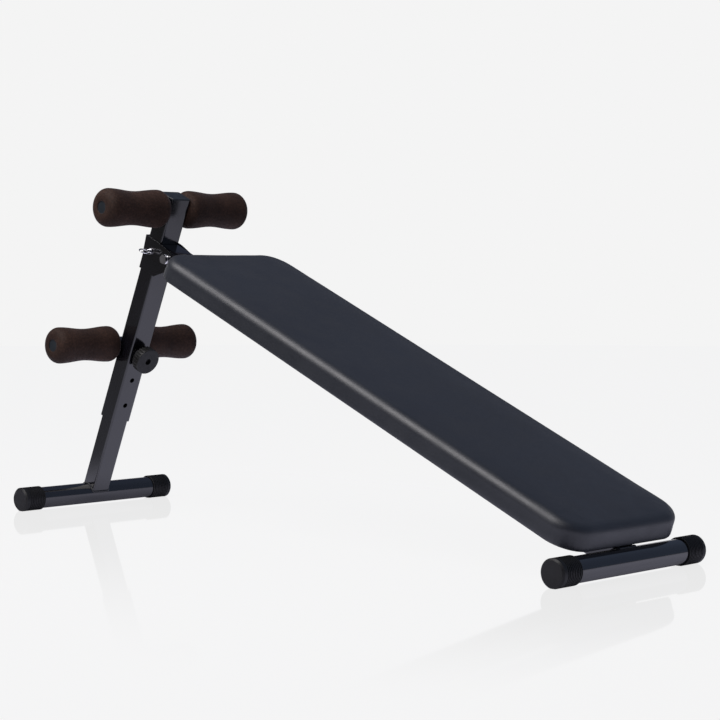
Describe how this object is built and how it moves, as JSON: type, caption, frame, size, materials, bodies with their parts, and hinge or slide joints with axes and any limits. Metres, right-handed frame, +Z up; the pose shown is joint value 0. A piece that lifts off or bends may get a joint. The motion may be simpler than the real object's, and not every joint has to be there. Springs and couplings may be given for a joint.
{
  "type": "decline sit up bench",
  "caption": "Folding decline sit up bench: long flat pad on a sloping square-tube frame, telescopic rear leg, foam leg rollers and round crossbar feet with rubber caps.",
  "frame": {"origin": "on the floor under the middle of the bounding box", "axes": "+X from the roller end to the low end of the pad, +Y across the bench, +Z up"},
  "size_m": [1.3972, 0.372, 0.6337],
  "materials": {
    "frame_paint": "black gloss powder coat",
    "foot_rubber": "matt moulded rubber",
    "pad_vinyl": "dark blue-black vinyl, soft sheen",
    "pad_board": "plywood, sealed",
    "roller_foam": "dark brown foam, fine open grain",
    "chrome": "bright plated",
    "zinc_steel": "zinc plated",
    "knob_plastic": "satin moulded nylon",
    "cap_plastic": "satin moulded plastic",
    "nylon": "natural nylon"
  },
  "bodies": {
    "bench": {"backbone_tube": "frame_paint", "pivot_bush": "zinc_steel", "front_foot_tube": "frame_paint", "front_foot_cap_left": "foot_rubber", "front_foot_cap_right": "foot_rubber", "pad_plate_head": "frame_paint", "pad_plate_foot": "frame_paint", "pad_screws": "zinc_steel", "pad_board": "pad_board", "pad_cushion": "pad_vinyl"},
    "post": {"outer_post": "frame_paint", "post_guide_bush": "nylon", "post_top_cap": "cap_plastic", "hinge_bracket": "frame_paint", "pivot_bolt": "chrome", "pivot_nut": "chrome", "pivot_washer_left": "chrome", "pivot_washer_right": "chrome", "upper_roller_axle": "zinc_steel", "upper_axle_cap_left": "cap_plastic", "upper_axle_cap_right": "cap_plastic", "lower_roller_mount": "frame_paint", "lower_roller_axle": "zinc_steel", "lower_axle_cap_left": "cap_plastic", "lower_axle_cap_right": "cap_plastic", "knob_washer": "zinc_steel"},
    "leg": {"inner_post": "frame_paint", "rear_foot_tube": "frame_paint", "rear_foot_cap_left": "foot_rubber", "rear_foot_cap_right": "foot_rubber"},
    "knob": {"knob": "knob_plastic", "knob_bolt": "zinc_steel"},
    "lock_pin": {"lock_pin": "chrome"},
    "lock_ring": {"lock_ring": "chrome"},
    "upper_roller_left": {"upper_roller_left": "roller_foam"},
    "upper_roller_right": {"upper_roller_right": "roller_foam"},
    "lower_roller_left": {"lower_roller_left": "roller_foam"},
    "lower_roller_right": {"lower_roller_right": "roller_foam"}
  },
  "joints": [
    {"name": "post_fold", "type": "hinge", "parent": "bench", "child": "post", "pos_m": [-0.4151, 0, 0.49932], "axis": [0, -1, 0], "range_deg": [0, 80]},
    {"name": "height_slide", "type": "slide", "parent": "post", "child": "leg", "axis": [-0.4003, 0, -0.9164], "range_m": [0, 0.112]},
    {"name": "knob_turn", "type": "hinge", "parent": "post", "child": "knob", "pos_m": [-0.51465, 0, 0.30266], "axis": [0.9164, 0, -0.4003], "continuous": true},
    {"name": "lock_pin_pull", "type": "slide", "parent": "post", "child": "lock_pin", "axis": [0, -1, 0], "range_m": [0, 0.06]},
    {"name": "lock_ring_swing", "type": "hinge", "parent": "lock_pin", "child": "lock_ring", "pos_m": [-0.46001, -0.0303, 0.51515], "axis": [0.9164, 0, -0.4003], "range_deg": [-90, 90]},
    {"name": "upper_left_roll", "type": "hinge", "parent": "post", "child": "upper_roller_left", "pos_m": [-0.42438, -0.0987, 0.59671], "axis": [0, 1, 0], "continuous": true},
    {"name": "upper_right_roll", "type": "hinge", "parent": "post", "child": "upper_roller_right", "pos_m": [-0.42438, 0.0987, 0.59671], "axis": [0, 1, 0], "continuous": true},
    {"name": "lower_left_roll", "type": "hinge", "parent": "post", "child": "lower_roller_left", "pos_m": [-0.58027, -0.0987, 0.33132], "axis": [0, 1, 0], "continuous": true},
    {"name": "lower_right_roll", "type": "hinge", "parent": "post", "child": "lower_roller_right", "pos_m": [-0.58027, 0.0987, 0.33132], "axis": [0, 1, 0], "continuous": true}
  ]
}
